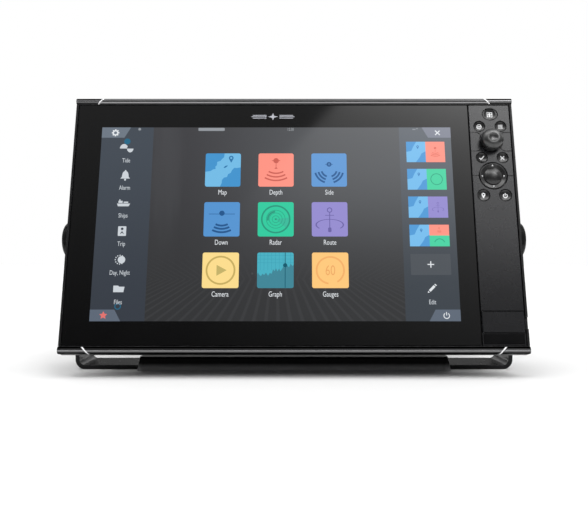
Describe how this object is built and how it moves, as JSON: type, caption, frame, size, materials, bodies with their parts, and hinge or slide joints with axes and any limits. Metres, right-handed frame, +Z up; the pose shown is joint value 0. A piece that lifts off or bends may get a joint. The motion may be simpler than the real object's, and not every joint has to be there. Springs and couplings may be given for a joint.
{
  "type": "chartplotter display",
  "caption": "Wide marine chartplotter with a touch picture, a keypad column with knob and arrow pad, on a tilting U bracket with side clamp knobs.",
  "frame": {"origin": "centre of the deck-bolt pattern on the underside of the bracket", "axes": "+Z up, +X to the right along the screen's width, the screen faces -Y"},
  "size_m": [0.463, 0.1284, 0.27],
  "materials": {
    "bracket_paint": "fine-textured black powder coat on aluminium",
    "foot_plastic": "semi-gloss black moulding",
    "steel": "stainless steel",
    "bezel_black": "black satin aluminium",
    "trim_gloss": "semi-gloss black bar",
    "accent_silver": "bright satin metal",
    "black_glass": "cover glass printed black at its border",
    "clear_film": "clear touch film",
    "black_rubber": "matt black rubber",
    "lcd_glass": "picture cell",
    "white_plastic": "white moulded tray",
    "bare_aluminium": "bare rolled sheet",
    "keypad_grey": "dark grey fine-grain moulding",
    "grey_silicone": "grey silicone",
    "green_board": "green solder mask",
    "inner_plastic": "black moulding",
    "key_black": "dark soft-touch key",
    "knob_black": "dark soft-touch knob",
    "brass": "turned brass",
    "chip_black": "component packages",
    "ceramic": "ceramic patch",
    "cast_black": "black textured paint on a die casting",
    "socket_black": "black nylon",
    "clamp_black": "black glass-filled nylon"
  },
  "bodies": {
    "bracket": {"bracket_frame": "bracket_paint", "bracket_foot": "foot_plastic", "foot_screws": "steel"},
    "display": {"backlight_tray": "white_plastic", "bezel_frame": "bezel_black", "board_components": "chip_black", "board_fixings": "brass", "bottom_trim": "trim_gloss", "bus_socket": "socket_black", "card_reader": "inner_plastic", "chassis_screws": "steel", "corner_accents": "accent_silver", "corner_caps": "trim_gloss", "cover_glass": "black_glass", "display_chassis": "bare_aluminium", "door_hinge_pins": "steel", "door_seal": "black_rubber", "encoder_body": "steel", "glass_gasket": "black_rubber", "gps_antenna": "ceramic", "key_membrane": "grey_silicone", "key_switches": "steel", "keypad_board": "green_board", "keypad_fascia": "keypad_grey", "keypad_screws": "steel", "knob_inserts": "brass", "lcd_panel": "lcd_glass", "main_board": "green_board", "network_sockets": "socket_black", "pad_yoke": "inner_plastic", "pivot_washers": "black_rubber", "power_socket": "socket_black", "rear_cover": "cast_black", "rear_cover_screws": "steel", "rear_gasket": "black_rubber", "sonar_sockets": "socket_black", "thermal_pad": "grey_silicone", "top_trim": "trim_gloss", "touch_sensor": "clear_film", "vent_plug": "inner_plastic", "video_socket": "socket_black"},
    "encoder_push": {"encoder_plunger": "inner_plastic"},
    "knob": {"rotary_knob": "knob_black", "encoder_shaft": "steel"},
    "pad_cross": {"pad_pivot": "inner_plastic"},
    "pad": {"arrow_pad": "key_black"},
    "door": {"card_door": "keypad_grey"},
    "right_clamp_slide": {"clamp_washer_right": "steel"},
    "right_clamp": {"clamp_knob_right": "clamp_black", "clamp_stud_right": "steel"},
    "left_clamp_slide": {"clamp_washer_left": "steel"},
    "left_clamp": {"clamp_knob_left": "clamp_black", "clamp_stud_left": "steel"},
    "pages_key": {"key_pages": "key_black"},
    "wheel_key": {"key_wheel": "key_black"},
    "menu_key": {"key_menu": "key_black"},
    "enter_key": {"key_enter": "key_black"},
    "exit_key": {"key_exit": "key_black"},
    "waypoint_key": {"key_waypoint": "key_black"},
    "power_key": {"key_power": "key_black"}
  },
  "joints": [
    {"name": "display_tilt", "type": "hinge", "parent": "bracket", "child": "display", "pos_m": [0, -0.00801, 0.12837], "axis": [-1, 0, 0], "range_deg": [-14.5, 20]},
    {"name": "pages_key_press", "type": "slide", "parent": "display", "child": "pages_key", "axis": [0, 0.9681, -0.2504], "range_m": [0, 0.0008], "stiffness_N_per_m": 1500, "springref_m": -0.0002},
    {"name": "wheel_key_press", "type": "slide", "parent": "display", "child": "wheel_key", "axis": [0, 0.9681, -0.2504], "range_m": [0, 0.0008], "stiffness_N_per_m": 1500, "springref_m": -0.0002},
    {"name": "menu_key_press", "type": "slide", "parent": "display", "child": "menu_key", "axis": [0, 0.9681, -0.2504], "range_m": [0, 0.0008], "stiffness_N_per_m": 1500, "springref_m": -0.0002},
    {"name": "enter_key_press", "type": "slide", "parent": "display", "child": "enter_key", "axis": [0, 0.9681, -0.2504], "range_m": [0, 0.0008], "stiffness_N_per_m": 1500, "springref_m": -0.0002},
    {"name": "exit_key_press", "type": "slide", "parent": "display", "child": "exit_key", "axis": [0, 0.9681, -0.2504], "range_m": [0, 0.0008], "stiffness_N_per_m": 1500, "springref_m": -0.0002},
    {"name": "waypoint_key_press", "type": "slide", "parent": "display", "child": "waypoint_key", "axis": [0, 0.9681, -0.2504], "range_m": [0, 0.0008], "stiffness_N_per_m": 1500, "springref_m": -0.0002},
    {"name": "power_key_press", "type": "slide", "parent": "display", "child": "power_key", "axis": [0, 0.9681, -0.2504], "range_m": [0, 0.0008], "stiffness_N_per_m": 1500, "springref_m": -0.0002},
    {"name": "knob_push", "type": "slide", "parent": "display", "child": "encoder_push", "axis": [0, 0.9681, -0.2504], "range_m": [0, 0.0006], "stiffness_N_per_m": 3000, "springref_m": -0.0002},
    {"name": "knob_turn", "type": "hinge", "parent": "encoder_push", "child": "knob", "pos_m": [0.19375, -0.02942, 0.22532], "axis": [0, 0.9681, -0.2504], "continuous": true},
    {"name": "pad_rock_up_down", "type": "hinge", "parent": "display", "child": "pad_cross", "pos_m": [0.194, -0.03502, 0.1901], "axis": [1, 0, 0], "range_deg": [-2.5, 2.5], "stiffness_Nm_per_rad": 0.5},
    {"name": "pad_rock_sideways", "type": "hinge", "parent": "pad_cross", "child": "pad", "pos_m": [0.194, -0.03502, 0.1901], "axis": [0, 0.2504, 0.9681], "range_deg": [-2.5, 2.5], "stiffness_Nm_per_rad": 0.5},
    {"name": "card_door_hinge", "type": "hinge", "parent": "display", "child": "door", "pos_m": [0.1752, -0.07317, 0.05175], "axis": [0, -0.2504, -0.9681], "range_deg": [0, 100]},
    {"name": "right_clamp_travel", "type": "slide", "parent": "display", "child": "right_clamp_slide", "axis": [1, 0, 0], "range_m": [0, 0.0025]},
    {"name": "right_clamp_turn", "type": "hinge", "parent": "right_clamp_slide", "child": "right_clamp", "pos_m": [0.22, -0.00801, 0.12837], "axis": [1, 0, 0], "range_deg": [0, 720.5]},
    {"name": "left_clamp_travel", "type": "slide", "parent": "display", "child": "left_clamp_slide", "axis": [-1, 0, 0], "range_m": [0, 0.0025]},
    {"name": "left_clamp_turn", "type": "hinge", "parent": "left_clamp_slide", "child": "left_clamp", "pos_m": [-0.22, -0.00801, 0.12837], "axis": [-1, 0, 0], "range_deg": [0, 720.5]}
  ],
  "couplings": [
    {"joint": "right_clamp_turn", "follows": "right_clamp_travel", "rad_per_m": 5026.5},
    {"joint": "left_clamp_turn", "follows": "left_clamp_travel", "rad_per_m": 5026.5}
  ]
}
